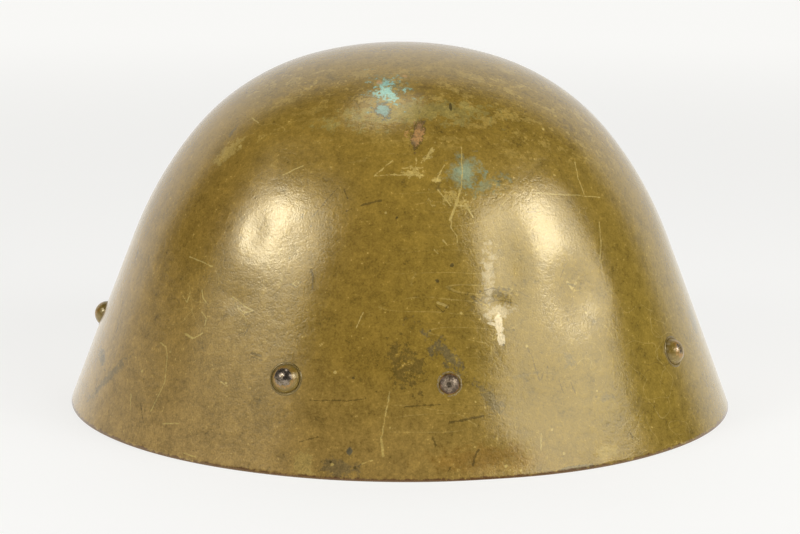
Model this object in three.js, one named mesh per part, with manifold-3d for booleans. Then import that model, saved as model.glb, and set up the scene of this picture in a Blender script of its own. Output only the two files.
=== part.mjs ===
// A civil defence helmet: one bowl pressed from sheet steel with a plain cut rim, five round-head
// rivets in a row round its skirt, and a smaller flat rivet over each ear.
// Millimetres, +Z up. +X points to the brow and +Y to the wearer's left. The origin is the middle
// of the rim's plane, which is the plane that the helmet rests on.
import * as THREE from 'three';
import { mergeVertices } from 'three/addons/utils/BufferGeometryUtils.js';
import Module from 'manifold-3d';

// The bowl. Its section at the brow is a straight skirt, two arcs and a crown arc that ends level
// on the axis; every level of the bowl is the same oval. Leans are from the vertical, in degrees.
const HALF_LENGTH = 145;
const WIDTH_TO_LENGTH = 0.85;
const WALL = 1.2;
const SKIRT = { lean: 21.7, length: 78, steps: 2 };
const SHOULDER = { radius: 161, endLean: 40.4, steps: 4 };
const HAUNCH = { radius: 102, endLean: 74.4, steps: 7 };
const CROWN_STEPS = 5;
const AROUND = 80;

// The rivets. Angles are round the oval from the back of the head, positive on the wearer's right.
const RIVET_HEIGHT = 34.6;
const ROUND_HEAD = { radius: 5.45, rise: 4.1, shank: 2.5, tail: 4.2, tailRise: 1.5 };
const FLAT_HEAD = { radius: 3.9, rise: 2.0, shank: 2.0, tail: 3.4, tailRise: 1.3 };
const PUNCH_MARK = { radius: 1.3, offset: 1.1, depth: 0.8, around: 12, down: 8 };
const RIVETS = [
  { name: 'band_rivet_back', head: ROUND_HEAD, angle: 0 },
  { name: 'band_rivet_right_back', head: ROUND_HEAD, angle: 70.7 },
  { name: 'band_rivet_right_front', head: ROUND_HEAD, angle: 148.1 },
  { name: 'band_rivet_left_back', head: ROUND_HEAD, angle: -70.7 },
  { name: 'band_rivet_left_front', head: ROUND_HEAD, angle: -148.1 },
  { name: 'strap_rivet_right', head: FLAT_HEAD, angle: 98.2 },
  { name: 'strap_rivet_left', head: FLAT_HEAD, angle: -98.2 },
];
const RIVET_SIDES = 20;
const HEAD_STEPS = 4;
const TAIL_STEPS = 3;
// Each rivet stands clear of the bowl. The tail's share is larger because the wall curves round it.
const GAP = 0.3;
const TAIL_GAP = 0.5;

const PAINT = { color: 0x8a7338, roughness: 0.42, metalness: 0.0 };
const RIVET_STEEL = { color: 0x6f6657, roughness: 0.5, metalness: 0.7 };

const radians = THREE.MathUtils.degToRad;
const wasm = await Module();
wasm.setup();

// A closed three.js geometry as a solid that can be cut
function toSolid(geometry) {
  const bare = geometry.clone();
  bare.deleteAttribute('normal');
  bare.deleteAttribute('uv');
  const merged = mergeVertices(bare);
  const corners = merged.index.array;
  const kept = [];
  for (let i = 0; i < corners.length; i += 3) {
    const [a, b, c] = corners.slice(i, i + 3);
    if (a !== b && b !== c && c !== a) kept.push(a, b, c);
  }
  return new wasm.Manifold(new wasm.Mesh({
    numProp: 3,
    vertProperties: new Float32Array(merged.attributes.position.array),
    triVerts: new Uint32Array(kept),
  }));
}

function toGeometry(solid) {
  const mesh = solid.getMesh();
  const geometry = new THREE.BufferGeometry();
  geometry.setAttribute('position', new THREE.BufferAttribute(mesh.vertProperties, mesh.numProp));
  geometry.setIndex(new THREE.BufferAttribute(mesh.triVerts, 1));
  geometry.computeVertexNormals();
  return geometry;
}

// The bowl's outer section from the rim up: distance from the axis, height and lean of each point
function bowlSection() {
  const skirtLean = radians(SKIRT.lean);
  const section = [];
  for (let i = 0; i <= SKIRT.steps; i++) {
    const along = (SKIRT.length * i) / SKIRT.steps;
    section.push({
      r: HALF_LENGTH - along * Math.sin(skirtLean),
      z: along * Math.cos(skirtLean),
      lean: skirtLean,
    });
  }
  const addArc = (radius, endLean, steps) => {
    const start = section.at(-1);
    for (let i = 1; i <= steps; i++) {
      const lean = THREE.MathUtils.lerp(start.lean, endLean, i / steps);
      section.push({
        r: start.r + radius * (Math.cos(lean) - Math.cos(start.lean)),
        z: start.z + radius * (Math.sin(lean) - Math.sin(start.lean)),
        lean,
      });
    }
  };
  addArc(SHOULDER.radius, radians(SHOULDER.endLean), SHOULDER.steps);
  addArc(HAUNCH.radius, radians(HAUNCH.endLean), HAUNCH.steps);
  const haunchEnd = section.at(-1);
  addArc(haunchEnd.r / Math.cos(haunchEnd.lean), Math.PI / 2, CROWN_STEPS);
  section.at(-1).r = 0;
  return section;
}

// A solid dome with a flat underside: the section turned about +Z and narrowed across the head
function dome(section, widthRatio) {
  const outline = [{ r: 0, z: section[0].z }, ...section];
  const turned = new THREE.LatheGeometry(outline.map(({ r, z }) => new THREE.Vector2(r, z)), AROUND);
  return toSolid(turned.rotateX(Math.PI / 2).scale(1, widthRatio, 1));
}

// Where a rivet sits on the outside of the skirt, with +Y of its own frame along the skirt's normal
function seatOf(rivet) {
  const angle = radians(rivet.angle);
  const slope = Math.tan(radians(SKIRT.lean));
  const r = HALF_LENGTH - RIVET_HEIGHT * slope;
  const x = -r * Math.cos(angle);
  const y = -r * Math.sin(angle) * WIDTH_TO_LENGTH;
  const normal = new THREE.Vector3(x, y / WIDTH_TO_LENGTH ** 2, r * slope).normalize();
  const turn = new THREE.Quaternion().setFromUnitVectors(new THREE.Vector3(0, 1, 0), normal);
  const matrix = new THREE.Matrix4().makeRotationFromQuaternion(turn);
  return matrix.setPosition(x, y, RIVET_HEIGHT);
}

function shellGeometry() {
  const outside = bowlSection();
  const inside = outside.map(({ r, z, lean }) => ({
    r: r - WALL * Math.cos(lean),
    z: z - WALL * Math.sin(lean),
  }));
  inside.at(-1).r = 0;
  // The hollow's straight skirt runs on below the rim's plane, so that the cut leaves a flat rim
  const { lean } = outside[0];
  const rimWidth = WALL / Math.cos(lean);
  const below = 2 * WALL;
  inside[0] = { r: HALF_LENGTH - rimWidth + below * Math.tan(lean), z: -below };
  const hollowRatio = (HALF_LENGTH * WIDTH_TO_LENGTH - rimWidth) / (HALF_LENGTH - rimWidth);
  let shell = dome(outside, WIDTH_TO_LENGTH).subtract(dome(inside, hollowRatio));
  for (const rivet of RIVETS) {
    const holeRadius = rivet.head.shank + GAP;
    const drillLength = 8 * WALL;
    const drill = new THREE.CylinderGeometry(holeRadius, holeRadius, drillLength, RIVET_SIDES);
    shell = shell.subtract(toSolid(drill.applyMatrix4(seatOf(rivet))));
  }
  return toGeometry(shell);
}

// Points of a low dome's section, from its edge at the given level to its top on the axis
function capPoints(radius, rise, level, steps) {
  const sphere = (radius ** 2 + rise ** 2) / (2 * Math.abs(rise));
  const halfAngle = Math.asin(Math.min(1, radius / sphere));
  const points = [];
  for (let i = 0; i < steps; i++) {
    const angle = halfAngle * (1 - i / steps);
    const up = sphere * (Math.cos(angle) - Math.cos(halfAngle));
    points.push(new THREE.Vector2(sphere * Math.sin(angle), level + Math.sign(rise) * up));
  }
  points.push(new THREE.Vector2(0, level + rise));
  return points;
}

// One rivet about its own +Y: closed tail inside the bowl, shank through the wall, head outside
function rivetGeometry(head) {
  const tailTop = -WALL - TAIL_GAP;
  const tail = capPoints(head.tail, -head.tailRise, tailTop, TAIL_STEPS).reverse();
  const outline = [
    ...tail,
    new THREE.Vector2(head.shank, tailTop),
    new THREE.Vector2(head.shank, GAP),
    ...capPoints(head.radius, head.rise, GAP, HEAD_STEPS),
  ];
  const turned = new THREE.LatheGeometry(outline, RIVET_SIDES);
  if (head !== FLAT_HEAD) return toGeometry(toSolid(turned));
  // The setting punch left a small round hollow beside the middle of the flat head
  const punch = new THREE.SphereGeometry(PUNCH_MARK.radius, PUNCH_MARK.around, PUNCH_MARK.down);
  const top = GAP + head.rise;
  punch.translate(PUNCH_MARK.offset, top - PUNCH_MARK.depth + PUNCH_MARK.radius, 0);
  return toGeometry(toSolid(turned).subtract(toSolid(punch)));
}

const helmet = new THREE.Group();

const shell = new THREE.Mesh(shellGeometry(), new THREE.MeshStandardMaterial(PAINT));
shell.name = 'shell';
helmet.add(shell);

for (const rivet of RIVETS) {
  const finish = rivet.head === FLAT_HEAD ? RIVET_STEEL : PAINT;
  const mesh = new THREE.Mesh(rivetGeometry(rivet.head), new THREE.MeshStandardMaterial(finish));
  mesh.name = rivet.name;
  mesh.applyMatrix4(seatOf(rivet));
  helmet.add(mesh);
}

export default helmet;
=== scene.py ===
import math

import bpy
from mathutils import Matrix, Vector, noise


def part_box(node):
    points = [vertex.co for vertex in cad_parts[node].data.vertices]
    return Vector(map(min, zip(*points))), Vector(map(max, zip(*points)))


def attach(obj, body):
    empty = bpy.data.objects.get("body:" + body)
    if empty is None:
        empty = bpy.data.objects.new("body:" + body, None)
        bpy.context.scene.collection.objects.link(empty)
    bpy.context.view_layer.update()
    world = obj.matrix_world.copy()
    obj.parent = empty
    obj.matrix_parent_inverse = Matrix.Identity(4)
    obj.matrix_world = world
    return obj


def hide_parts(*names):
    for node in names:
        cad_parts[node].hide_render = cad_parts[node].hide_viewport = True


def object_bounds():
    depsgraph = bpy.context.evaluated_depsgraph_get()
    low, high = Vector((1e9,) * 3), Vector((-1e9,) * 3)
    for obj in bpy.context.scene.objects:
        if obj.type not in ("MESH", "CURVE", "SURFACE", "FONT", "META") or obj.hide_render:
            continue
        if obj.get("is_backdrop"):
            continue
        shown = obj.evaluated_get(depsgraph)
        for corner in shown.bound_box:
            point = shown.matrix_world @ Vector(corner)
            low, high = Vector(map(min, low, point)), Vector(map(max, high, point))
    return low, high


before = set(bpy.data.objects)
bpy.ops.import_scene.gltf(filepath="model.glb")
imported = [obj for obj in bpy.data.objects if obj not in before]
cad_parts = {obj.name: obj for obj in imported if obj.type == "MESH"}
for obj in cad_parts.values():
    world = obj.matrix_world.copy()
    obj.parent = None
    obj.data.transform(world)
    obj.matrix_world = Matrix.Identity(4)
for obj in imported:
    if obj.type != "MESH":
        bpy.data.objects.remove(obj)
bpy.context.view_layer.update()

# The camera stands at the wearer's right, a little above the crown's height, where the photo was taken.
# Metres and radians, in the helmet's frame: +X is the brow, +Y the wearer's left, +Z up.
IMAGE_WIDTH, IMAGE_HEIGHT = 800, 534
SENSOR_WIDTH = 36.0
FOCAL_PIXELS = 1622.8
CAMERA_PLACE = Vector((-0.0004, -0.700, 0.2024))
CAMERA_PITCH = 0.2056
CAMERA_ROLL = 0.0092

camera_data = bpy.data.cameras.new("camera")
camera_data.sensor_width = SENSOR_WIDTH
camera_data.lens = FOCAL_PIXELS * SENSOR_WIDTH / IMAGE_WIDTH
camera_data.clip_start, camera_data.clip_end = 0.01, 50.0
camera = bpy.data.objects.new("camera", camera_data)
camera_turn = Matrix.Rotation(math.pi / 2 - CAMERA_PITCH, 4, "X") @ Matrix.Rotation(CAMERA_ROLL, 4, "Z")
camera.matrix_world = Matrix.Translation(CAMERA_PLACE) @ camera_turn
bpy.context.collection.objects.link(camera)
bpy.context.scene.camera = camera
bpy.context.scene.view_settings.view_transform = "Standard"

# The table top is white and lit all over, so the helmet seems to stand in plain daylight.
# What it shows the camera is a little dimmer than what it throws up onto the bowl.
TABLE_SIZE = 30.0
TABLE_PALE = 0.25
TABLE_TINT = (1.0, 0.995, 0.97, 1.0)
TABLE_GLOW_NEAR, TABLE_GLOW_FAR, TABLE_GLOW_REACH = 0.69, 0.84, (0.1, 2.5)
TABLE_THROW = 1.05


class Wire:
    """A socket of a finish. Sums, products and the like on wires add the Math nodes that do them."""

    def __init__(self, finish, socket):
        self.finish, self.socket = finish, socket

    def maths(self, operation, *others):
        return self.finish.node("ShaderNodeMath", {"operation": operation}, (self, *others))

    def __add__(self, other):
        return self.maths("ADD", other)

    def __sub__(self, other):
        return self.maths("SUBTRACT", other)

    def __rsub__(self, other):
        return self.finish.node("ShaderNodeMath", {"operation": "SUBTRACT"}, (other, self))

    def __mul__(self, other):
        return self.maths("MULTIPLY", other)

    __radd__ = __add__
    __rmul__ = __mul__

    def rise(self, low, high, top=1.0):
        """0 where the wire is at low, growing evenly to top where it is at high, and level outside."""
        slope = top / (high - low)
        line = self.maths("MULTIPLY_ADD", slope, -low * slope)
        return self.finish.node("ShaderNodeClamp", {}, {"Value": line, "Max": top})


class Finish:
    """The nodes of a material, of the room or of a group. node() adds any of them."""

    def __init__(self, owner):
        if not isinstance(owner, bpy.types.NodeTree):
            owner.use_nodes = True
        tree = owner if isinstance(owner, bpy.types.NodeTree) else owner.node_tree
        self.owner, self.nodes, self.links = owner, tree.nodes, tree.links

    def node(self, kind, settings, sockets, output=0):
        """A new node: its type, its settings, its sockets' values or wires, and the output that is read."""
        new = self.nodes.new(kind)
        for name, value in settings.items():
            setattr(new, name, value)
        for socket, value in sockets.items() if isinstance(sockets, dict) else enumerate(sockets):
            if isinstance(value, Wire):
                self.links.new(value.socket, new.inputs[socket])
            else:
                new.inputs[socket].default_value = value
        return Wire(self, new.outputs[output]) if new.outputs else None

    def vector(self, operation, *values):
        output = "Value" if operation in ("LENGTH", "DISTANCE", "DOT_PRODUCT") else "Vector"
        return self.node("ShaderNodeVectorMath", {"operation": operation}, values, output)

    def blend(self, under, over, cover):
        """One colour over another, as much as the cover says."""
        return self.node("ShaderNodeMix", {"data_type": "RGBA"}, {0: cover, 6: under, 7: over}, 2)

    def cloud(self, place, fineness, detail, contrast=0.5):
        """Soft noise about 1/fineness metres from one lump to the next."""
        sockets = {"Vector": place, "Scale": fineness, "Detail": detail, "Roughness": contrast}
        return self.node("ShaderNodeTexNoise", {}, sockets)

    def place(self):
        return self.node("ShaderNodeTexCoord", {}, (), "Object")

    def set(self, **values):
        """Sockets of the Principled shader, by their names with underscores for spaces."""
        for name, value in values.items():
            socket = self.nodes["Principled BSDF"].inputs[name.replace("_", " ")]
            if isinstance(value, Wire):
                self.links.new(value.socket, socket)
            else:
                socket.default_value = value


bpy.ops.object.select_all(action="DESELECT")
bpy.ops.mesh.primitive_plane_add(size=TABLE_SIZE)
table = bpy.context.object
table.name = "table_top"
table_white = Finish(bpy.data.materials.new("table_top"))
from_middle = table_white.vector("LENGTH", table_white.place())
shown = table_white.node("ShaderNodeMapRange", {"interpolation_type": "SMOOTHSTEP"}, {
    "Value": from_middle, "From Min": TABLE_GLOW_REACH[0], "From Max": TABLE_GLOW_REACH[1],
    "To Min": TABLE_GLOW_NEAR, "To Max": TABLE_GLOW_FAR})
to_camera = table_white.node("ShaderNodeLightPath", {}, (), "Is Camera Ray")
table_white.set(Base_Color=(TABLE_PALE, TABLE_PALE, TABLE_PALE, 1.0), Emission_Color=TABLE_TINT,
                Emission_Strength=to_camera * shown + (1 - to_camera) * TABLE_THROW,
                Roughness=0.9, Specular_IOR_Level=0.2)
table.data.materials.append(table_white.owner)
table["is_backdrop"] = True

# The light is a group of softboxes on each side of the camera, a small one overhead and pale walls behind.
# The room behind the camera is dark, which leaves the dim band down the middle of the bowl.
AIM = Vector((0.0, -0.06, 0.08))
SOFTBOXES = [
    # name, degrees from the camera's side towards the brow, degrees up, metres away, width, height, watts
    ("softbox_back_spill", -57.5, 31.0, 1.14, 0.84, 0.84, 2.0),
    ("softbox_back", -54.5, 31.8, 1.12, 0.66, 0.43, 2.45),
    ("softbox_back_lamp", -56.5, 32.6, 1.10, 0.25, 0.24, 2.1),
    ("softbox_front", 58.5, 24.9, 1.12, 0.95, 0.74, 7.5),
    ("softbox_front_lamp", 64.0, 30.4, 1.10, 0.28, 0.36, 2.7),
    ("softbox_front_strip", 44.0, 38.0, 1.10, 0.14, 0.24, 0.25),
    ("softbox_top", -109.0, 84.0, 1.10, 0.46, 0.32, 1.05),
]
WALL_LIGHT = 1.28
ROOM_LIGHT = 0.01
WALLS_START, WALLS_END = 0.3, 0.56
SIDE_WALL_LIGHT, SIDE_WALL_START, SIDE_WALL_END = 0.8, 0.72, 0.92
SIDE_WALL_TOP, SIDE_WALL_FULL = 0.24, 0.12
BACKDROP = (0.925, 0.923, 0.900, 1.0)

for name, azimuth, elevation, distance, width, height, watts in SOFTBOXES:
    lamp_data = bpy.data.lights.new(name, "AREA")
    lamp_data.shape = "RECTANGLE"
    lamp_data.size, lamp_data.size_y = width, height
    lamp_data.energy = watts
    lamp = bpy.data.objects.new(name, lamp_data)
    around, up = math.radians(azimuth), math.radians(elevation)
    towards = Vector((math.sin(around) * math.cos(up), -math.cos(around) * math.cos(up), math.sin(up)))
    lamp.location = AIM + distance * towards
    lamp.rotation_euler = towards.to_track_quat("Z", "Y").to_euler()
    bpy.context.collection.objects.link(lamp)

bpy.context.scene.world = bpy.data.worlds.new("studio")
room = Finish(bpy.context.scene.world)
room.nodes.clear()
direction = room.node("ShaderNodeTexCoord", {}, (), "Generated")
level, behind, above = (room.node("ShaderNodeSeparateXYZ", {}, (direction,), axis) for axis in "XYZ")
walls = room.node("ShaderNodeMapRange", {"interpolation_type": "SMOOTHSTEP"}, {
    "Value": behind, "From Min": WALLS_START, "From Max": WALLS_END,
    "To Min": ROOM_LIGHT, "To Max": WALL_LIGHT})
napeward = level.rise(-SIDE_WALL_START, -SIDE_WALL_END, SIDE_WALL_LIGHT)
side_wall = napeward * above.rise(SIDE_WALL_TOP, SIDE_WALL_FULL)
lighting = room.node("ShaderNodeBackground", {}, {"Strength": walls.maths("MAXIMUM", side_wall)})
backdrop = room.node("ShaderNodeBackground", {}, {"Color": BACKDROP})
seen = room.node("ShaderNodeLightPath", {}, (), "Is Camera Ray")
either = room.node("ShaderNodeMixShader", {}, (seen, lighting, backdrop))
room.node("ShaderNodeOutputWorld", {}, (either,))

# The bowl is one pressing of sheet steel, trimmed flat at the rim without a rolled edge, and knocked here
# and there by a life of use. It has one coat of glossy olive-brown enamel, rubbed to a mottle round the
# crown, stained, chipped and scratched, and plain thin paint inside.
WALL = 0.0012
SKIRT_LEAN, SKIRT_LENGTH = math.radians(21.7), 0.0780
SHOULDER_RADIUS, SHOULDER_END = 0.161, math.radians(40.4)
HAUNCH_RADIUS, HAUNCH_END = 0.102, math.radians(74.4)
BOWL_AROUND = 320
SECTION_STEP = 0.0019
TRIM = 0.002
RIM_BREAK = 0.0002
WELD = 1e-6
CREASE = math.radians(35)
RIPPLE_DEPTH, RIPPLE_LENGTH = 0.00030, 0.055
MILLIMETRE = 0.001
KNOCKS = [
    # photo column, row, millimetres wide, high, and pushed in
    (497, 303, 10, 8, 0.9),
    (350, 452, 4, 5, 0.15),
    (255, 233, 12, 16, 0.5),
    (289, 246, 22, 22, 0.4),
    (236, 300, 12, 8, 0.2),
    (510, 266, 13, 32, 0.8),
    (581, 297, 22, 26, 1.2),
    (535, 405, 36, 34, 1.0),
    (492, 464, 26, 14, 0.7),
    (424, 262, 16, 20, 0.3),
    (380, 360, 30, 24, 0.3),
    (560, 160, 24, 16, 0.4),
    (300, 150, 26, 18, 0.4),
]

bowl_low, bowl_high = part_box("shell")
half_length, half_width = bowl_high.x, bowl_high.y
width_ratio = half_width / half_length


def bowl_section():
    """Points of the bowl's outside at the brow, from just under the rim to the axis, evenly apart."""
    r = half_length + TRIM * math.tan(SKIRT_LEAN)
    z = -TRIM
    points = [(r, z)]
    length = SKIRT_LENGTH + TRIM / math.cos(SKIRT_LEAN)
    steps = round(length / SECTION_STEP)
    for i in range(1, steps + 1):
        along = length * i / steps
        points.append((r - along * math.sin(SKIRT_LEAN), z + along * math.cos(SKIRT_LEAN)))
    lean = SKIRT_LEAN
    arcs = [(SHOULDER_RADIUS, SHOULDER_END), (HAUNCH_RADIUS, HAUNCH_END), (None, math.pi / 2)]
    for radius, end_lean in arcs:
        r, z = points[-1]
        radius = radius or r / math.cos(lean)
        steps = round(radius * (end_lean - lean) / SECTION_STEP)
        for i in range(1, steps + 1):
            a = lean + (end_lean - lean) * i / steps
            points.append((r + radius * (math.cos(a) - math.cos(lean)),
                           z + radius * (math.sin(a) - math.sin(lean))))
        lean = end_lean
    points[-1] = (0.0, points[-1][1])
    return points


def turn_on_lathe(name, section, around):
    """A piece turned about +Z from a section of (distance from the axis, height) points."""
    bpy.ops.object.select_all(action="DESELECT")
    bpy.ops.mesh.primitive_circle_add(vertices=3, radius=MILLIMETRE)
    piece = bpy.context.object
    piece.name = piece.data.name = name
    bpy.ops.object.mode_set(mode="EDIT")
    bpy.ops.mesh.select_all(action="SELECT")
    bpy.ops.mesh.merge(type="CENTER")
    r, z = section[0]
    bpy.ops.transform.translate(value=(r, 0, z))
    for (r0, z0), (r1, z1) in zip(section, section[1:]):
        bpy.ops.mesh.extrude_region_move(TRANSFORM_OT_translate={"value": (r1 - r0, 0, z1 - z0)})
    bpy.ops.mesh.select_all(action="SELECT")
    bpy.ops.mesh.spin(steps=around, angle=2 * math.pi, center=(0, 0, 0), axis=(0, 0, 1))
    bpy.ops.mesh.select_all(action="SELECT")
    bpy.ops.mesh.remove_doubles(threshold=WELD)
    bpy.ops.mesh.normals_make_consistent(inside=False)
    bpy.ops.object.mode_set(mode="OBJECT")
    return piece


def apply_modifier(piece, kind, **settings):
    modifier = piece.modifiers.new(kind.lower(), kind)
    for setting, value in settings.items():
        setattr(modifier, setting, value)
    bpy.context.view_layer.objects.active = piece
    bpy.ops.object.modifier_apply(modifier=modifier.name)


def on_bowl(column, row):
    """The place on the bowl's outside that a place in the 800 by 534 photo shows."""
    across, up = (column - IMAGE_WIDTH / 2) / FOCAL_PIXELS, (IMAGE_HEIGHT / 2 - row) / FOCAL_PIXELS
    sight = camera_turn.to_3x3() @ Vector((across, up, -1))
    found, place, normal, face = bowl.ray_cast(CAMERA_PLACE, sight.normalized())
    if not found:
        raise ValueError(f"the photo shows no bowl at {column}, {row}")
    return place, normal


def across_and_up(normal):
    """The level direction towards the brow and the direction up the bowl, at a place with that normal."""
    across = Vector((0, 0, 1)).cross(normal).normalized()
    return across, normal.cross(across)


bowl = turn_on_lathe("bowl", bowl_section(), BOWL_AROUND)
bpy.ops.transform.resize(value=(1, width_ratio, 1), center_override=(0, 0, 0))
bpy.ops.object.transform_apply(location=True, rotation=True, scale=True)
bpy.context.view_layer.update()
knocks = []
for column, row, wide, high, deep in KNOCKS:
    place, normal = on_bowl(column, row)
    across, up = across_and_up(normal)
    half_wide, half_high = wide * MILLIMETRE / 2, high * MILLIMETRE / 2
    knocks.append((place, across / half_wide, up / half_high, deep * MILLIMETRE))
moves = []
for vertex in bowl.data.vertices:
    out = RIPPLE_DEPTH * noise.noise(vertex.co / RIPPLE_LENGTH)
    for place, across, up, deep in knocks:
        away = vertex.co - place
        if vertex.co.y < 0:
            out -= deep * math.exp(-away.dot(across) ** 2 - away.dot(up) ** 2)
    moves.append(vertex.normal * out)
for vertex, move in zip(bowl.data.vertices, moves):
    vertex.co += move
outside_count = len(bowl.data.vertices)
apply_modifier(bowl, "SOLIDIFY", thickness=WALL, offset=-1.0)
inner_side = bowl.data.attributes.new("inner", "FLOAT", "POINT")
for vertex, share in zip(bowl.data.vertices, inner_side.data):
    share.value = 1.0 if vertex.index >= outside_count else 0.0
bpy.ops.object.mode_set(mode="EDIT")
bpy.ops.mesh.select_all(action="SELECT")
bpy.ops.mesh.bisect(plane_co=(0, 0, 0), plane_no=(0, 0, 1), clear_inner=True)
bpy.ops.mesh.bridge_edge_loops()
bpy.ops.mesh.bevel(offset=RIM_BREAK, segments=2)
bpy.ops.object.mode_set(mode="OBJECT")
bpy.ops.object.shade_smooth_by_angle(angle=CREASE)
bpy.context.view_layer.update()

# Its enamel: tones that wander from golden brown at the nape to olive at the brow, and the inside's paint
BROWN, OLIVE = (0.214, 0.131, 0.022, 1.0), (0.208, 0.139, 0.021, 1.0)
# A paler, duller tone: dust low on the bowl, and painted light thrown up from the white table
DUST_AND_TABLE_BOUNCE = (0.287, 0.185, 0.058, 1.0)
RUBBED_PALE, RUBBED_DARK = (0.300, 0.212, 0.055, 1.0), (0.125, 0.078, 0.015, 1.0)
HAIRLINE_PALE, HAIRLINE_DARK = (0.440, 0.330, 0.100, 1.0), (0.070, 0.046, 0.012, 1.0)
RIM_DARK_BAND, RIM_HEIGHT = (0.085, 0.034, 0.014, 1.0), 0.0009
INSIDE_PAINT, INSIDE_RUST = (0.120, 0.082, 0.020, 1.0), (0.110, 0.045, 0.014, 1.0)
GLOSS_TINT = (1.0, 0.86, 0.56, 1.0)
ROUGHNESS = 0.19
TONE_LENGTH, RUB_LENGTH, MOTTLE_LENGTH = 0.075, 0.0060, 0.0065
COARSE_LENGTH, PEEL_LENGTH, FINE_LENGTH, GRAIN_LENGTH = 0.0045, 0.0030, 0.0018, 0.0007
PEEL_HEIGHT, MOTTLE_HEIGHT, GRAIN_HEIGHT = 0.062, 0.070, 0.038
RUB_STARTS, RUB_FULL, RUB_FADES, RUB_ENDS = 0.124, 0.140, 0.142, 0.151
HAIRLINE_WIDTH = 0.004
HAIRLINES = [
    # turn in radians, how far the noise is squeezed along the line, fineness, colour
    ((0, 0, 0.3), 0.12, 55, HAIRLINE_PALE),
    ((0.4, 1.2, 0), 0.10, 48, HAIRLINE_DARK),
    ((0, 0.5, 1.9), 0.14, 60, HAIRLINE_PALE),
]
LONGEST_LEG = 0.011
WOBBLE, MARK_BREAK = 0.0014, 0.0012
FAR_SIDE_STARTS, FAR_SIDE_FULL = 0.0045, 0.0046

# Colours that show through the paint or lie on it, and a few patches that paint a sheen, a highlight or a
# dent's shade
VERDIGRIS, VERDIGRIS_PALE = (0.150, 0.300, 0.225, 1.0), (0.285, 0.540, 0.460, 1.0)
CHIP_BLUE = (0.165, 0.290, 0.250, 1.0)
ORANGE_RUST, DULL_RUST = (0.420, 0.225, 0.075, 1.0), (0.210, 0.120, 0.050, 1.0)
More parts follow.
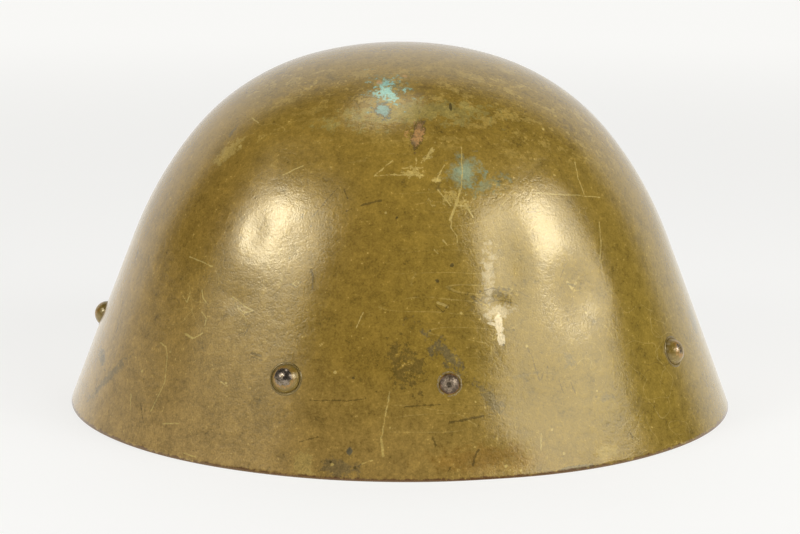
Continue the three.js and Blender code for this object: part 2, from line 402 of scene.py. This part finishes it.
# The smooth olive is paint rubbed smooth, made paler as well to paint the sheen it catches
WORN_OLIVE_AND_SHEEN, RUST_BROWN = (0.300, 0.255, 0.080, 1.0), (0.215, 0.115, 0.020, 1.0)
CREAM, FLAKE = (0.600, 0.490, 0.290, 1.0), (0.420, 0.310, 0.090, 1.0)
SLATE, SOOT, HAZE = (0.095, 0.085, 0.052, 1.0), (0.062, 0.046, 0.016, 1.0), (0.240, 0.325, 0.215, 1.0)
PATCHES = [
    # from column, row, to column, row, millimetres across, colour, cover, raggedness, softness
    # Paint rubbed smooth across the crown, partly a painted sheen
    (340, 115, 482, 108, 10.5, WORN_OLIVE_AND_SHEEN, 0.45, 2.4, 0.12),
    (372, 92, 402, 88, 16.0, VERDIGRIS, 0.42, 4.0, 0.80),
    (383, 85, 390, 98, 7.0, VERDIGRIS_PALE, 0.80, 6.0, 0.90),
    (373, 111, 393, 108, 8.4, SLATE, 0.85, 1.2, 0.15),
    (377, 111, 390, 109, 4.6, CHIP_BLUE, 0.85, 2.6, 0.30),
    (377, 80, 381, 84, 2.6, ORANGE_RUST, 0.70, 1.2, 0.40),
    (402, 75, 407, 77, 1.8, ORANGE_RUST, 0.60, 1.2, 0.40),
    (424, 117, 411, 152, 5.6, SOOT, 0.75, 1.1, 0.15),
    (423, 121, 411, 149, 4.2, DULL_RUST, 0.85, 1.3, 0.25),
    (420, 127, 413, 144, 3.6, ORANGE_RUST, 0.60, 5.0, 0.30),
    (414, 140, 411, 147, 2.6, SLATE, 0.50, 2.4, 0.40),
    (450, 103, 451, 111, 1.3, SOOT, 0.90, 0.3, 0.15),
    (470, 160, 459, 184, 12.0, HAZE, 0.68, 1.9, 0.90),
    (472, 192, 500, 180, 6.5, VERDIGRIS, 0.26, 3.4, 0.60),
    (408, 171, 424, 173, 3.4, FLAKE, 0.70, 4.5, 0.15),
    (427, 157, 434, 147, 2.4, FLAKE, 0.70, 3.4, 0.20),
    (433, 180, 440, 179, 2.4, FLAKE, 0.60, 3.2, 0.20),
    (440, 196, 466, 204, 5.0, FLAKE, 0.60, 5.0, 0.15),
    (434, 184, 442, 190, 4.0, SOOT, 0.40, 3.2, 0.30),
    (216, 161, 241, 141, 7.0, FLAKE, 0.50, 2.2, 0.20),
    (239, 122, 228, 138, 2.0, SLATE, 0.50, 1.6, 0.30),
    (396, 348, 418, 384, 11.0, SOOT, 0.48, 2.4, 0.30),
    (424, 333, 462, 372, 5.6, SLATE, 0.58, 3.2, 0.50),
    (481, 388, 500, 410, 4.2, SLATE, 0.42, 3.8, 0.50),
    (512, 378, 541, 371, 1.8, SLATE, 0.32, 2.6, 0.60),
    # A dark smear on the upper side of the knock at column 497, row 303, partly painted shade of that dent
    (478, 298, 512, 292, 5.6, SOOT, 0.55, 3.0, 0.30),
    # Painted highlight: a pale strip down the side of that knock where a softbox's reflection runs
    (488, 250, 490, 302, 4.6, CREAM, 0.56, 2.6, 0.70),
    (485, 314, 511, 308, 5.6, CREAM, 0.50, 2.0, 0.40),
    (498, 313, 500, 337, 3.6, CREAM, 1.00, 0.9, 0.15),
    (500, 333, 502, 346, 3.4, CREAM, 1.00, 0.7, 0.15),
    (487, 323, 500, 325, 1.5, CREAM, 0.90, 0.7, 0.20),
    (350, 447, 349, 456, 2.7, SLATE, 0.90, 0.6, 0.20),
    (319, 466, 358, 471, 6.5, SLATE, 0.45, 2.2, 0.30),
    (296, 454, 312, 472, 7.0, FLAKE, 0.45, 2.6, 0.20),
    (478, 475, 534, 466, 7.0, FLAKE, 0.60, 4.4, 0.15),
    (436, 460, 548, 462, 12.5, RUST_BROWN, 0.58, 1.4, 0.40),
    (688, 298, 698, 336, 12.0, SLATE, 0.60, 1.6, 0.30),
    (100, 348, 104, 368, 5.0, SLATE, 0.65, 1.2, 0.30),
    (124, 360, 90, 398, 4.6, SLATE, 0.50, 1.8, 0.30),
    (566, 354, 573, 366, 4.4, SLATE, 0.38, 3.6, 0.30),
    (595, 401, 610, 396, 2.6, SLATE, 0.38, 3.0, 0.30),
    (560, 470, 598, 465, 1.6, SLATE, 0.70, 1.5, 0.20),
    # Painted highlight: a soft pale spot near the rim where the front softboxes' reflection reaches down
    (597, 458, 615, 446, 6.0, FLAKE, 0.48, 1.5, 0.60),
]
# Scratches, through to a paler coat or filled with dirt, each a run of photo columns and rows
PALE_SCRATCHES = [
    [(374, 176), (393, 160)], [(374, 176), (400, 175), (423, 175)], [(402, 168), (412, 168)],
    [(416, 158), (416, 167), (421, 175)], [(433, 148), (426, 159)], [(461, 147), (462, 170), (461, 190)],
    [(451, 221), (451, 228), (457, 236), (457, 242)], [(438, 190), (447, 201), (451, 206)],
    [(436, 182), (440, 172), (445, 165)], [(463, 197), (466, 206), (473, 217)], [(455, 205), (464, 206)],
    [(575, 162), (578, 178), (584, 194)], [(599, 222), (601, 240), (600, 259)],
    [(536, 193), (566, 195), (600, 197)], [(183, 296), (187, 302), (190, 293)],
    [(202, 290), (203, 297), (206, 302)], [(202, 312), (206, 318)], [(185, 334), (194, 338), (202, 333)],
    [(205, 325), (207, 318)], [(160, 343), (166, 346), (167, 358), (165, 381), (151, 411)],
    [(131, 394), (130, 410)], [(163, 424), (179, 423)], [(184, 453), (196, 457)], [(363, 313), (356, 328)],
    [(221, 382), (227, 386)], [(390, 392), (387, 408), (381, 440)], [(372, 460), (362, 464)],
    [(541, 434), (541, 450)], [(233, 297), (243, 305), (253, 311)], [(434, 250), (438, 254)],
    [(252, 118), (258, 123)], [(233, 298), (236, 306), (243, 312), (251, 312)],
    [(292, 284), (296, 281), (300, 284), (297, 287), (292, 284)], [(283, 175), (303, 166)],
    [(190, 257), (212, 266)], [(443, 240), (448, 246)],
]
PALE_SCORES = [
    [(460, 190), (457, 203), (453, 213), (450, 220)], [(408, 171), (412, 173)], [(432, 150), (428, 156)],
    [(433, 180), (440, 180)], [(382, 440), (383, 456)], [(567, 282), (572, 288), (576, 283)],
    [(186, 335), (193, 338)], [(438, 303), (447, 307)],
]
DARK_SCRATCHES = [
    [(337, 189), (328, 199), (318, 210), (310, 220)], [(344, 190), (348, 199)], [(346, 211), (352, 209)],
    [(233, 299), (237, 308), (246, 315), (254, 312)], [(582, 306), (586, 311)], [(527, 212), (540, 212)],
    [(533, 209), (539, 209)], [(310, 400), (345, 401), (366, 398)], [(405, 407), (440, 404)],
    [(571, 382), (576, 394)], [(559, 380), (563, 393)],
    [(526, 345), (532, 356), (536, 370), (540, 381), (544, 372)], [(82, 380), (83, 394)],
    [(141, 404), (143, 423)], [(248, 330), (243, 338)], [(450, 467), (447, 474)],
    [(290, 284), (296, 288), (301, 282)], [(474, 296), (483, 302)], [(498, 291), (508, 296)],
    [(121, 318), (113, 340)], [(560, 277), (567, 262)], [(300, 441), (318, 437)], [(480, 268), (484, 262)],
    [(436, 306), (443, 312), (448, 305)], [(252, 357), (262, 360)],
    [(476, 297), (486, 303), (500, 300), (512, 303)], [(480, 292), (492, 288), (506, 290)],
]
DARK_SCORES = [
    [(362, 205), (371, 203), (381, 201)], [(449, 423), (464, 420), (483, 416)], [(252, 353), (261, 356)],
    [(478, 450), (474, 460), (473, 466)], [(433, 438), (436, 446)], [(311, 270), (313, 278), (312, 288)],
    [(568, 284), (575, 286)],
]
# Specks and pits: photo column, row and millimetres across
PALE_SPECKS = [
    (461, 313, 1.0), (527, 346, 1.1), (586, 313, 1.0), (564, 454, 1.1), (335, 372, 1.1), (170, 352, 0.9),
    (543, 129, 1.2), (386, 213, 0.9), (394, 175, 1.0), (476, 402, 0.8), (552, 430, 1.0), (597, 391, 0.8),
    (142, 371, 1.1), (226, 383, 0.9), (240, 146, 1.4), (390, 428, 0.9), (332, 465, 1.2), (521, 470, 1.2),
    (506, 466, 1.0),
]
DARK_PITS = [
    (354, 378, 1.1), (290, 258, 0.8), (241, 238, 0.8), (303, 214, 0.8), (311, 226, 0.9), (499, 250, 0.8),
    (452, 265, 1.6), (437, 281, 1.4), (302, 217, 0.9), (265, 210, 0.8), (397, 218, 0.9), (131, 445, 1.4),
    (144, 449, 1.3), (355, 468, 1.2), (330, 462, 1.0), (514, 330, 0.8), (504, 345, 0.8), (548, 367, 0.8),
]
MARKS = [
    # name, chart, colour, metres from a mark where the colour ends and where it is full, cover
    ("pale_scratches", PALE_SCRATCHES, HAIRLINE_PALE, 0.00032, 0.00014, 0.80),
    ("pale_scores", PALE_SCORES, FLAKE, 0.00065, 0.00035, 0.85),
    ("dark_scratches", DARK_SCRATCHES, HAIRLINE_DARK, 0.00034, 0.00014, 0.65),
    ("dark_scores", DARK_SCORES, HAIRLINE_DARK, 0.00060, 0.00030, 0.70),
    ("pale_specks", PALE_SPECKS, FLAKE, 0.00015, -0.0001, 0.9),
    ("dark_pits", DARK_PITS, SOOT, 0.00015, -0.0001, 0.8),
]


def out_of_patch(finish, place, first, last, across):
    """How far out of a charted patch a place is: 0 at its middle and 1 at its edge."""
    start, end = on_bowl(*first)[0], on_bowl(*last)[0]
    middle, normal = on_bowl((first[0] + last[0]) / 2, (first[1] + last[1]) / 2)
    long = (end - start) / 2
    long -= normal * long.dot(normal)
    sideways = normal.cross(long).normalized()
    turn = Matrix((long.normalized(), sideways, normal)).transposed()
    half_across = across * MILLIMETRE / 2
    reach = Vector((long.length, half_across, max(long.length, half_across)))
    inside = finish.node("ShaderNodeMapping", {"vector_type": "TEXTURE"}, {
        "Vector": place, "Location": middle, "Rotation": turn.to_euler(), "Scale": reach})
    return finish.vector("LENGTH", inside)


def short_legs(scratch):
    """The straight legs of a charted scratch, cut short enough to follow the bowl: (start, end) places."""
    for (column, row), (next_column, next_row) in zip(scratch, scratch[1:]):
        whole = (on_bowl(next_column, next_row)[0] - on_bowl(column, row)[0]).length
        count = math.ceil(whole / LONGEST_LEG)
        across, down = (next_column - column) / count, (next_row - row) / count
        stops = [on_bowl(column + across * i, row + down * i)[0] for i in range(count + 1)]
        yield from zip(stops, stops[1:])


def distances(chart, place, mark):
    """The metres from a place to each leg of a scratch, or to the edge of a speck."""
    if isinstance(mark, tuple):
        column, row, across = mark
        yield chart.vector("DISTANCE", place, on_bowl(column, row)[0]) - across * MILLIMETRE / 2
        return
    for start, end in short_legs(mark):
        leg = end - start
        gauge = leg / leg.length_squared
        first = start.dot(gauge)
        along = chart.vector("DOT_PRODUCT", place, gauge)
        along = chart.node("ShaderNodeClamp", {}, {"Value": along, "Min": first, "Max": first + 1})
        step = chart.node("ShaderNodeVectorMath", {"operation": "SCALE"}, {0: leg, 3: along})
        foot = chart.vector("ADD", step, start - leg * first)
        yield chart.vector("DISTANCE", place, foot)


def measured(name, marks):
    """A group of nodes that gives the metres from a place to the nearest of some scratches or specks."""
    group = bpy.data.node_groups.new(name, "ShaderNodeTree")
    group.interface.new_socket("Place", in_out="INPUT", socket_type="NodeSocketVector")
    group.interface.new_socket("Distance", in_out="OUTPUT", socket_type="NodeSocketFloat")
    chart = Finish(group)
    place = chart.node("NodeGroupInput", {}, ())
    nearest = None
    for mark in marks:
        for distance in distances(chart, place, mark):
            nearest = nearest.maths("MINIMUM", distance) if nearest else distance
    chart.node("NodeGroupOutput", {}, (nearest,))
    return group


def hairlines(finish, place, turn, squeeze, fineness):
    """Long thin wandering lines, drawn out along one direction."""
    stretch = {"Vector": place, "Rotation": turn, "Scale": (squeeze, 1, 1)}
    drawn_out = finish.node("ShaderNodeMapping", {}, stretch)
    ridge = (finish.cloud(drawn_out, fineness, 1.5) - 0.5).maths("ABSOLUTE")
    return ridge.rise(HAIRLINE_WIDTH, HAIRLINE_WIDTH * 0.3)


# Every patch's edge and every scratch is broken by the same fine and coarse noises
enamel = Finish(bpy.data.materials.new("bowl_paint"))
place = enamel.place()
fine = enamel.cloud(place, 1 / FINE_LENGTH, 3.0, 0.78) - 0.5
coarse = enamel.cloud(place, 1 / COARSE_LENGTH, 3.0, 0.65) - 0.5
tone = enamel.cloud(place, 1 / TONE_LENGTH, 2.5, 0.55)
mottle = enamel.cloud(place, 1 / MOTTLE_LENGTH, 3.5, 0.62)
grain = enamel.cloud(place, 1 / GRAIN_LENGTH, 1.0, 0.6) - 0.5
x, y, z = (enamel.node("ShaderNodeSeparateXYZ", {}, (place,), axis) for axis in "XYZ")

# The ground coat, paler and duller low down and at the nape, lighter high up, and paler and darker in turn
# where it is rubbed round the crown
colour = enamel.blend(BROWN, OLIVE, (tone - 0.5 + x * 5.0).rise(-0.5, 0.6))
# Low down and towards the nape the coat turns paler and duller, partly dust and partly painted light thrown
# up from the white table
dust_and_table_bounce = (x * -8.0 - z * 22.0 + tone * 1.2).rise(-0.3, 1.1, 0.9)
colour = enamel.blend(colour, DUST_AND_TABLE_BOUNCE, dust_and_table_bounce)
shade = 1 + (mottle - 0.5) * 0.95 + fine * 1.05 + grain * 0.8 + (tone - 0.5) * 0.35
# The colour is made lighter high up towards the crown, by up to about a sixth
shade = shade + z.rise(0.08, 0.12, 0.16)
streaked = enamel.node("ShaderNodeMapping", {}, {"Vector": place, "Scale": (0.5, 1, 1)})
rub = enamel.cloud(streaked, 1 / RUB_LENGTH, 4.0, 0.66) - 0.5
rubbed = (z + tone * 0.016 + x * 0.20).rise(RUB_STARTS, RUB_FULL) * z.rise(RUB_ENDS, RUB_FADES)
worn = rub + fine * 0.35
worn_edge = (worn - 0.02).maths("ABSOLUTE").rise(0.035, 0.010)
colour = enamel.blend(colour, RUBBED_PALE, worn.rise(0.03, 0.10) * rubbed * 0.55)
colour = enamel.blend(colour, RUBBED_DARK, worn_edge * rubbed * 0.65)
colour = enamel.blend(colour, RUBBED_DARK, worn.rise(-0.05, -0.16) * rubbed * 0.75)

# Grime in the hollows, chips, and hairlines in broken stretches
grime = (mottle + fine * 0.3 - tone * 0.25).rise(0.20, 0.06, 0.5)
colour = enamel.blend(colour, SOOT, grime)
chips = fine + grain * 0.5 + coarse * 0.25
colour = enamel.blend(colour, FLAKE, chips.rise(0.21, 0.27, 0.50))
colour = enamel.blend(colour, HAIRLINE_DARK, chips.rise(-0.22, -0.29, 0.50))
broken = (tone + coarse * 0.6 + fine * 0.35).rise(0.49, 0.65, 0.36)
for turn, squeeze, fineness, tint in HAIRLINES:
    colour = enamel.blend(colour, tint, hairlines(enamel, place, turn, squeeze, fineness) * broken)

# The charted patches, then the charted marks, which the far side has too, turned half round
ragged = fine * 1.5 + coarse * 1.5
for column, row, end_column, end_row, across, tint, cover, raggedness, softness in PATCHES:
    edge = out_of_patch(enamel, place, (column, row), (end_column, end_row), across) + ragged * raggedness
    colour = enamel.blend(colour, tint, edge.rise(1.0 + softness / 3, 1.0 - softness, cover))
wobble = enamel.node("ShaderNodeCombineXYZ", {}, (coarse, rub, mottle - 0.5))
loose = enamel.vector("MULTIPLY_ADD", wobble, (WOBBLE, WOBBLE, WOBBLE), place)
turned = enamel.vector("MULTIPLY", loose, (-1, -1, 1))
far_side = y.rise(FAR_SIDE_STARTS, FAR_SIDE_FULL)
sides = {0: far_side, 4: loose, 5: turned}
both_sides = enamel.node("ShaderNodeMix", {"data_type": "VECTOR"}, sides, 1)
breaks = fine * MARK_BREAK
for name, marks, tint, ends, full, cover in MARKS:
    away = enamel.node("ShaderNodeGroup", {"node_tree": measured(name, marks)}, (both_sides,)) + breaks
    colour = enamel.blend(colour, tint, away.rise(ends, full, cover))

shading = {"data_type": "RGBA", "blend_type": "MULTIPLY"}
shaded = enamel.node("ShaderNodeMix", shading, {0: 1.0, 6: colour, 7: shade}, 2)
# A thin dark reddish band runs along the rim
rim = (z + fine * 0.0022 + coarse * 0.002).rise(RIM_HEIGHT + 0.0004, RIM_HEIGHT - 0.0002, 0.9)
painted = enamel.blend(shaded, RIM_DARK_BAND, rim)
inner = enamel.node("ShaderNodeAttribute", {"attribute_name": "inner"}, (), "Fac")
inside_coat = enamel.blend(INSIDE_PAINT, INSIDE_RUST, (mottle + coarse * 0.5).rise(0.52, 0.68))
painted = enamel.blend(painted, inside_coat, inner)

combed = enamel.node("ShaderNodeMapping", {}, {"Vector": place, "Scale": (0.65, 0.65, 1.0)})
peel = enamel.cloud(combed, 1 / PEEL_LENGTH, 2.5, 0.6)
height = peel * PEEL_HEIGHT + mottle * MOTTLE_HEIGHT + (fine + grain) * GRAIN_HEIGHT
relief = enamel.node("ShaderNodeBump", {}, {"Height": height, "Distance": MILLIMETRE})
enamel.set(Base_Color=painted, Roughness=ROUGHNESS + (mottle - 0.5) * 0.08 + fine * 0.14,
           Specular_IOR_Level=1.0, Specular_Tint=GLOSS_TINT, Normal=relief)
bowl.data.materials.append(enamel.owner)
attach(bowl, "root")
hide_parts("shell")

# The band rivets are round-head steel rivets, five round the skirt, set through the bowl from outside and
# closed over inside. They were painted with the bowl, which left a ring of enamel round each head, and
# handling has rubbed their tops back to steel.
RIVET_HEIGHT = 0.0346
SEATED = 0.0004
HEAD_RADIUS, HEAD_RISE = 0.00545, 0.0041
RING_GROOVE, RING_CREST, RING_WIDTH, RING_HEIGHT = 0.00010, 0.00045, 0.0010, 0.00028
SHANK_RADIUS, TAIL_RADIUS, TAIL_RISE, TAIL_LIP = 0.0025, 0.0042, 0.0015, 0.0005
HEAD_AROUND, HEAD_STEPS, TAIL_STEPS = 64, 14, 6
RIVET_CREASE = math.radians(50)
RAY_START, RAY_LENGTH = 0.01, 0.03
FOOT_SHARE, HAMMERED_SHARE = 0.15, 0.3
HAMMER_DEPTH, HAMMER_LENGTH, HAMMER_SHIFT = 0.00022, 0.0035, 3.1
RUBBED_ABOVE = 0.16
PATCHY_LENGTH, GRIT_LENGTH = 0.0020, 0.0005
BAND_RIVETS = [
    # node, degrees round the oval from the nape (positive on the wearer's right), how far it is rubbed
    ("band_rivet_back", 0.0, 0.18),
    ("band_rivet_right_back", 70.7, 0.33),
    ("band_rivet_right_front", 148.1, 0.12),
    ("band_rivet_left_back", -70.7, 0.30),
    ("band_rivet_left_front", -148.1, 0.36),
]
# The rivets' enamel is darker than the bowl's, partly dirt and partly painted shade round the raised heads
RIVET_ENAMEL_DIRT_AND_SHADE, RIVET_STEEL_TONE = (0.165, 0.108, 0.020, 1.0), (0.230, 0.185, 0.140, 1.0)
# The rivet grime is dirt on the steel, and at the foot of the band rivets' heads it is also painted shade
RIVET_RUST, RIVET_GRIME_AND_SHADE = (0.330, 0.150, 0.035, 1.0), (0.050, 0.034, 0.010, 1.0)


def rivet_section(head_radius, head_rise, tail_radius, tail_rise, ring):
    """A rivet's section in its own frame: the bowl's outside is at height 0 and the head is above it."""
    inside = -WALL
    section = [(tail_radius * math.sin(a), inside - TAIL_LIP - tail_rise * math.cos(a))
               for a in (math.pi / 2 * i / TAIL_STEPS for i in range(TAIL_STEPS + 1))]
    section += [(tail_radius, inside + SEATED), (SHANK_RADIUS, inside + SEATED), (SHANK_RADIUS, -SEATED)]
    section += ring
    curve = (head_radius ** 2 + head_rise ** 2) / (2 * head_rise)
    spread = math.asin(min(1.0, head_radius / curve))
    for i in range(HEAD_STEPS + 1):
        a = spread * (1 - i / HEAD_STEPS)
        section.append((curve * math.sin(a), head_rise - curve * (1 - math.cos(a))))
    section[0] = (0.0, section[0][1])
    section[-1] = (0.0, head_rise)
    return section


def wall_under(seat, turn, point):
    """How far the bowl's outside lies over or under the plane of a rivet's seat, beneath a point of it."""
    start = seat + turn @ Vector((point.x, point.y, RAY_START))
    found, place, normal, face = bowl.ray_cast(start, turn @ Vector((0, 0, -1)), distance=RAY_LENGTH)
    return (place - seat).dot(turn @ Vector((0, 0, 1))) if found else 0.0


def seat_rivet(piece, node, angle):
    """Set a rivet made on +Z into the bowl, kept level and with its foot following the wall."""
    a = math.radians(angle)
    r = half_length - RIVET_HEIGHT * math.tan(SKIRT_LEAN)
    axis = Vector((-r * math.cos(a), -r * math.sin(a) / width_ratio, r * math.tan(SKIRT_LEAN))).normalized()
    across, up = across_and_up(axis)
    outside = Vector((-r * math.cos(a), -r * math.sin(a) * width_ratio, RIVET_HEIGHT))
    found, seat, normal, face = bowl.ray_cast(outside + axis * RAY_START, -axis, distance=RAY_LENGTH)
    turn = Matrix((across, up, axis)).transposed()
    for vertex in piece.data.vertices:
        lift = wall_under(seat, turn, vertex.co)
        share = 1 if vertex.co.z < HEAD_RISE * FOOT_SHARE else max(0.0, 1 - vertex.co.z / HEAD_RISE)
        vertex.co.z += lift * share
    piece.data.transform(Matrix.Translation(seat) @ turn.to_4x4())
    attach(piece, "root")
    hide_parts(node)


def copy_of(piece, name):
    twin = piece.copy()
    twin.data = piece.data.copy()
    twin.name = twin.data.name = name
    bpy.context.collection.objects.link(twin)
    return twin


def mark_rise(piece, rise):
    """Store how high each point stands on the head, 0 at the bowl and 1 at the top."""
    heights = piece.data.attributes.new("rise", "FLOAT", "POINT")
    for vertex, height in zip(piece.data.vertices, heights.data):
        height.value = vertex.co.z / rise


band_ring = [
    (HEAD_RADIUS + RING_WIDTH, -SEATED),
    (HEAD_RADIUS + RING_WIDTH, 0.0),
    (HEAD_RADIUS + RING_WIDTH * 0.8, RING_HEIGHT * 0.75),
    (HEAD_RADIUS + RING_CREST, RING_HEIGHT),
    (HEAD_RADIUS + RING_GROOVE * 2, RING_HEIGHT * 0.5),
    (HEAD_RADIUS + RING_GROOVE, -RING_HEIGHT * 0.6),
    (HEAD_RADIUS - RING_GROOVE, -RING_HEIGHT * 0.5),
]
band_section = rivet_section(HEAD_RADIUS, HEAD_RISE, TAIL_RADIUS, TAIL_RISE, band_ring)
band_rivet = turn_on_lathe("band_rivet", band_section, HEAD_AROUND)
mark_rise(band_rivet, HEAD_RISE)
bpy.ops.object.shade_smooth_by_angle(angle=RIVET_CREASE)

rivet_paint = Finish(bpy.data.materials.new("rivet_paint"))
spot = rivet_paint.place()
rise = rivet_paint.node("ShaderNodeAttribute", {"attribute_name": "rise"}, (), "Fac")
rubbing = rivet_paint.node("ShaderNodeAttribute", {"attribute_name": "rubbing"}, (), "Fac")
patchy = rivet_paint.cloud(spot, 1 / PATCHY_LENGTH, 3.0, 0.6) - 0.5
grit = rivet_paint.cloud(spot, 1 / GRIT_LENGTH, 2.0, 0.5) - 0.5
wear = rise + rubbing + patchy * 0.55 + grit * 0.12
bared, edge = wear.rise(1.0, 1.06), wear.rise(0.78, 1.0)
# Round the foot of each head the enamel is darkened, partly grime and partly painted shade where head and
# bowl meet
foot = rise.rise(0.10, 0.0)
painted = rivet_paint.blend(RIVET_ENAMEL_DIRT_AND_SHADE, FLAKE, (patchy + grit).rise(0.08, 0.30, 0.5))
painted = rivet_paint.blend(painted, RIVET_GRIME_AND_SHADE, (foot * 0.9 + patchy * 0.8).rise(0.25, 0.70, 0.85))
painted = rivet_paint.blend(painted, RIVET_RUST, edge * (grit * 1.2 + patchy + 0.55).rise(0.35, 0.75, 0.9))
steel_grime = (patchy * -1.0 + grit * 1.2).rise(0.00, 0.20, 0.85)
steel = rivet_paint.blend(RIVET_STEEL_TONE, RIVET_GRIME_AND_SHADE, steel_grime)
height = patchy * 0.11 + grit * 0.03 - bared * 0.06
relief = rivet_paint.node("ShaderNodeBump", {}, {"Height": height, "Distance": MILLIMETRE})
rivet_paint.set(Base_Color=rivet_paint.blend(painted, steel, bared), Metallic=bared * 0.9,
                Roughness=0.22 + grit * 0.10, Specular_IOR_Level=1.0, Specular_Tint=GLOSS_TINT,
                Normal=relief)

for number, (node, angle, rubbed_share) in enumerate(BAND_RIVETS):
    piece = copy_of(band_rivet, "enamelled_" + node)
    shares = piece.data.attributes.new("rubbing", "FLOAT", "POINT")
    shift = Vector((number * HAMMER_SHIFT, 0, 0))
    for vertex, share in zip(piece.data.vertices, shares.data):
        share.value = rubbed_share + RUBBED_ABOVE * vertex.co.y / HEAD_RADIUS
        if vertex.co.z > HEAD_RISE * HAMMERED_SHARE:
            vertex.co.z += HAMMER_DEPTH * noise.noise(vertex.co / HAMMER_LENGTH + shift)
    piece.data.materials.append(rivet_paint.owner)
    seat_rivet(piece, node, angle)
bpy.data.objects.remove(band_rivet)

# The strap rivets are smaller and lower, one over each ear. They were closed with a punch that left an
# off-centre dimple, and have lost their paint, apart from a broken ring of it round the foot.
STRAP_RADIUS, STRAP_RISE, STRAP_TAIL_RADIUS, STRAP_TAIL_RISE = 0.0039, 0.0020, 0.0034, 0.0013
DIMPLE_PLACE, DIMPLE_RADIUS, DIMPLE_DEPTH = Vector((-0.0006, -0.0003, 0.0)), 0.0009, 0.0010
CRATER_GAP, CRATER_CREST, CRATER_WIDTH, CRATER_HEIGHT = 0.00012, 0.00045, 0.00095, 0.00022
CRATER_BREAK, CRATER_BREAK_LENGTH = 0.00064, 0.0012
STRAP_HAMMER_DEPTH, STRAP_HAMMER_LENGTH = 0.00018, 0.0016
STRAP_PATCHY_LENGTH, STRAP_GRIT_LENGTH = 0.0016, 0.0004
STRAP_RIVETS = [("strap_rivet_right", 98.2), ("strap_rivet_left", -98.2)]
WORN_STEEL, BROWN_STEEL = (0.260, 0.195, 0.125, 1.0), (0.070, 0.042, 0.022, 1.0)
STRAP_RUST = (0.280, 0.105, 0.024, 1.0)

crater = [
    (STRAP_RADIUS + CRATER_WIDTH, -SEATED),
    (STRAP_RADIUS + CRATER_WIDTH, 0.0),
    (STRAP_RADIUS + CRATER_WIDTH * 0.8, CRATER_HEIGHT * 0.7),
    (STRAP_RADIUS + CRATER_CREST, CRATER_HEIGHT),
    (STRAP_RADIUS + CRATER_GAP * 2, CRATER_HEIGHT * 0.5),
    (STRAP_RADIUS + CRATER_GAP, -CRATER_HEIGHT * 0.4),
    (STRAP_RADIUS - CRATER_GAP, -CRATER_HEIGHT * 0.4),
]
strap_section = rivet_section(STRAP_RADIUS, STRAP_RISE, STRAP_TAIL_RADIUS, STRAP_TAIL_RISE, crater)
strap_rivet = turn_on_lathe("strap_rivet", strap_section, HEAD_AROUND)
mark_rise(strap_rivet, STRAP_RISE)
reach = strap_rivet.data.attributes.new("reach", "FLOAT", "POINT")
dimple = strap_rivet.data.attributes.new("dimple", "FLOAT", "POINT")
for vertex, share, hollow in zip(strap_rivet.data.vertices, reach.data, dimple.data):
    from_axis = math.hypot(vertex.co.x, vertex.co.y)
    from_dimple = (vertex.co - DIMPLE_PLACE).xy.length
    share.value = from_axis / STRAP_RADIUS
    hollow.value = math.exp(-(from_dimple / DIMPLE_RADIUS) ** 2)
    if vertex.co.z > 0 and from_axis > STRAP_RADIUS + CRATER_GAP:
        vertex.co.z += CRATER_BREAK * noise.noise(vertex.co / CRATER_BREAK_LENGTH)
    elif vertex.co.z > 0:
        vertex.co.z -= DIMPLE_DEPTH * math.exp(-(from_dimple / DIMPLE_RADIUS) ** 4)
        vertex.co.z += STRAP_HAMMER_DEPTH * noise.noise(vertex.co / STRAP_HAMMER_LENGTH)
bpy.ops.object.shade_smooth_by_angle(angle=RIVET_CREASE)

rivet_steel = Finish(bpy.data.materials.new("rivet_steel"))
spot = rivet_steel.place()
reach = rivet_steel.node("ShaderNodeAttribute", {"attribute_name": "reach"}, (), "Fac")
rise = rivet_steel.node("ShaderNodeAttribute", {"attribute_name": "rise"}, (), "Fac")
patchy = rivet_steel.cloud(spot, 1 / STRAP_PATCHY_LENGTH, 4.0, 0.6) - 0.5
grit = rivet_steel.cloud(spot, 1 / STRAP_GRIT_LENGTH, 2.0, 0.5) - 0.5
polish = (patchy * 1.6 + grit * 0.9 + rise * 0.35).rise(0.05, 0.50)
worn = rivet_steel.blend(BROWN_STEEL, WORN_STEEL, polish)
worn = rivet_steel.blend(worn, STRAP_RUST, (reach + patchy * 0.9).rise(0.85, 1.05, 0.65))
hollow = rivet_steel.node("ShaderNodeAttribute", {"attribute_name": "dimple"}, (), "Fac")
strap_grime = (patchy * -1.0 + grit * 0.6 + hollow * 0.5).rise(0.06, 0.20, 0.75)
worn = rivet_steel.blend(worn, RIVET_GRIME_AND_SHADE, strap_grime)
ringed = (reach + patchy * 0.10).rise(1.03, 1.07)
# The strap rivets' ring takes the same darkened enamel, dirt and painted shade
ring_tone = rivet_steel.blend(RIVET_ENAMEL_DIRT_AND_SHADE, FLAKE, (patchy * 1.4 + grit).rise(0.0, 0.30, 0.55))
height = patchy * 0.22 + grit * 0.09
relief = rivet_steel.node("ShaderNodeBump", {}, {"Height": height, "Distance": MILLIMETRE})
rivet_steel.set(Base_Color=rivet_steel.blend(worn, ring_tone, ringed), Metallic=(1 - ringed) * 0.55,
                Roughness=0.36 + grit * 0.2, Specular_IOR_Level=0.8, Normal=relief)
for node, angle in STRAP_RIVETS:
    piece = copy_of(strap_rivet, "punched_" + node)
    piece.data.materials.append(rivet_steel.owner)
    seat_rivet(piece, node, angle)
bpy.data.objects.remove(strap_rivet)

# The bounds of what was built are measured last.
low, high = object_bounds()
